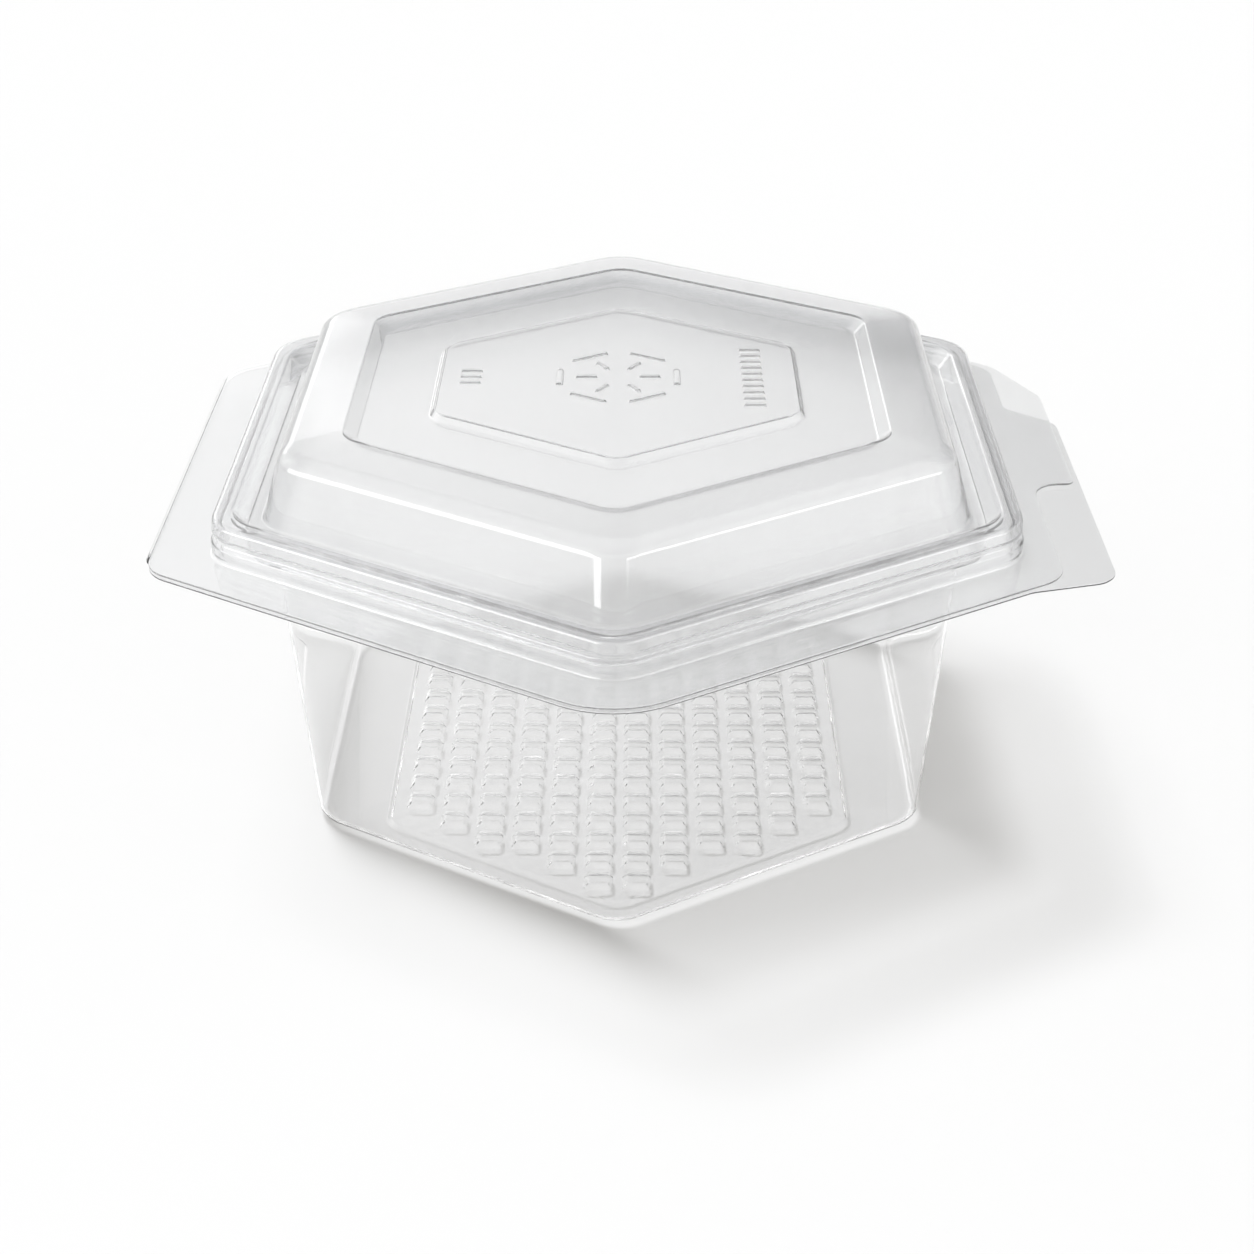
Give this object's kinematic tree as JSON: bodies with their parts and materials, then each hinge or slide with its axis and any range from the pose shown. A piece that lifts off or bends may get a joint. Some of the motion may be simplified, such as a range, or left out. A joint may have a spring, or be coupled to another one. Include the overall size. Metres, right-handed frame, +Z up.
{
  "type": "hinged food container",
  "caption": "Clear hexagonal food container: a tray with a waffle floor, and a domed lid folded on along its flange, with opening tabs.",
  "frame": {"origin": "middle of the hexagonal foot, on the plane it stands on", "axes": "+Z up, +X from the fold line towards the opening tabs, +Y towards the back corner of the hexagon"},
  "size_m": [0.1482, 0.1552, 0.0693],
  "materials": {
    "tray_sheet": "clear gloss",
    "lid_sheet": "clear gloss"
  },
  "bodies": {
    "tray_body": {"tray": "tray_sheet"},
    "lid_body": {"lid": "lid_sheet"}
  },
  "joints": [
    {"name": "lid_hinge", "type": "hinge", "parent": "tray_body", "child": "lid_body", "pos_m": [-0.0721, 0, 0.0528], "axis": [0, -1, 0], "range_deg": [0, 180]}
  ]
}
